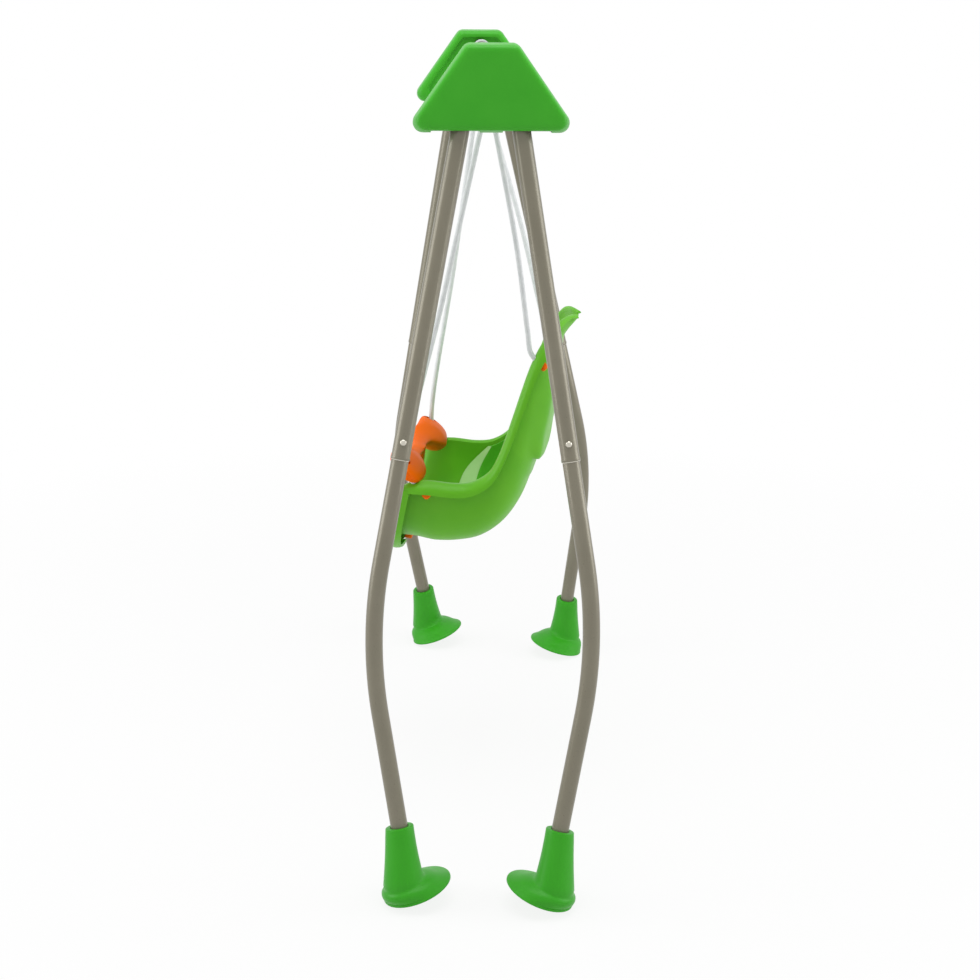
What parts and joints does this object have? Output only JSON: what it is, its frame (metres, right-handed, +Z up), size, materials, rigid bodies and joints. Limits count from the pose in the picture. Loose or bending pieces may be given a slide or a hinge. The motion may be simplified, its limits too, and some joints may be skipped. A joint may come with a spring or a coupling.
{
  "type": "baby swing set",
  "caption": "Toddler swing on a folding steel frame: a bucket seat with a sliding safety bar hangs on ropes from a top bar between two folding housings.",
  "frame": {"origin": "on the ground under the middle of the part's footprint", "axes": "+Z up; the seat faces -X; the top bar lies along Y, and a child in the seat has their left towards -Y"},
  "size_m": [0.3954, 1.187, 1.204],
  "materials": {
    "housing_green": "semi-gloss moulded leaf green",
    "seat_lime": "glossy blow-moulded lime green",
    "liner_lime": "satin pale lime green",
    "bar_orange": "glossy moulded orange",
    "tube_taupe": "satin powder coat in taupe grey",
    "hanger_white": "satin moulded white",
    "rope_white": "woven white rope",
    "zinc_steel": "bright zinc plate",
    "bush_grey": "plain moulded grey"
  },
  "bodies": {
    "frame": {"top_bar": "tube_taupe", "left_housing_outer": "housing_green", "left_housing_inner": "housing_green", "left_housing_screw_front": "zinc_steel", "left_housing_screw_rear": "zinc_steel", "left_plate_inner": "zinc_steel", "left_plate_outer": "zinc_steel", "front_left_pivot_bolt": "zinc_steel", "front_left_pivot_nut": "zinc_steel", "rear_left_pivot_bolt": "zinc_steel", "rear_left_pivot_nut": "zinc_steel", "right_housing_outer": "housing_green", "right_housing_inner": "housing_green", "right_housing_screw_front": "zinc_steel", "right_housing_screw_rear": "zinc_steel", "right_plate_inner": "zinc_steel", "right_plate_outer": "zinc_steel", "front_right_pivot_bolt": "zinc_steel", "front_right_pivot_nut": "zinc_steel", "rear_right_pivot_bolt": "zinc_steel", "rear_right_pivot_nut": "zinc_steel"},
    "front_left_leg": {"front_left_upper_tube": "tube_taupe", "front_left_pivot_bush": "bush_grey", "front_left_lower_tube": "tube_taupe", "front_left_tube_screw": "zinc_steel", "front_left_foot": "housing_green"},
    "front_right_leg": {"front_right_upper_tube": "tube_taupe", "front_right_pivot_bush": "bush_grey", "front_right_lower_tube": "tube_taupe", "front_right_tube_screw": "zinc_steel", "front_right_foot": "housing_green"},
    "rear_left_leg": {"rear_left_upper_tube": "tube_taupe", "rear_left_pivot_bush": "bush_grey", "rear_left_lower_tube": "tube_taupe", "rear_left_tube_screw": "zinc_steel", "rear_left_foot": "housing_green"},
    "rear_right_leg": {"rear_right_upper_tube": "tube_taupe", "rear_right_pivot_bush": "bush_grey", "rear_right_lower_tube": "tube_taupe", "rear_right_tube_screw": "zinc_steel", "rear_right_foot": "housing_green"},
    "swing": {"left_hanger": "hanger_white", "right_hanger": "hanger_white", "front_left_rope": "rope_white", "front_left_stopper": "bar_orange", "front_right_rope": "rope_white", "front_right_stopper": "bar_orange", "back_left_rope": "rope_white", "back_left_stopper": "bar_orange", "back_right_rope": "rope_white", "back_right_stopper": "bar_orange", "seat_shell": "seat_lime", "back_liner": "liner_lime"},
    "bar": {"safety_bar": "bar_orange"}
  },
  "joints": [
    {"name": "front_left_leg_fold", "type": "hinge", "parent": "frame", "child": "front_left_leg", "pos_m": [-0.0541, -0.33268, 1.1278], "axis": [0, 1, 0], "range_deg": [-1.9, 19.5]},
    {"name": "front_right_leg_fold", "type": "hinge", "parent": "frame", "child": "front_right_leg", "pos_m": [-0.0541, 0.33432, 1.1278], "axis": [0, 1, 0], "range_deg": [-0.3, 21.1]},
    {"name": "rear_left_leg_fold", "type": "hinge", "parent": "frame", "child": "rear_left_leg", "pos_m": [0.0169, -0.33268, 1.1278], "axis": [0, -1, 0], "range_deg": [-0.1, 21.3]},
    {"name": "rear_right_leg_fold", "type": "hinge", "parent": "frame", "child": "rear_right_leg", "pos_m": [0.0169, 0.33432, 1.1278], "axis": [0, -1, 0], "range_deg": [-4.6, 16.8]},
    {"name": "swing_turn", "type": "hinge", "parent": "frame", "child": "swing", "pos_m": [-0.0186, 0.0008, 1.1778], "axis": [0, 1, 0], "range_deg": [-35, 35]},
    {"name": "safety_bar_slide", "type": "slide", "parent": "swing", "child": "bar", "axis": [0.1386, -0.0121, 0.9903], "range_m": [0, 0.06]}
  ]
}
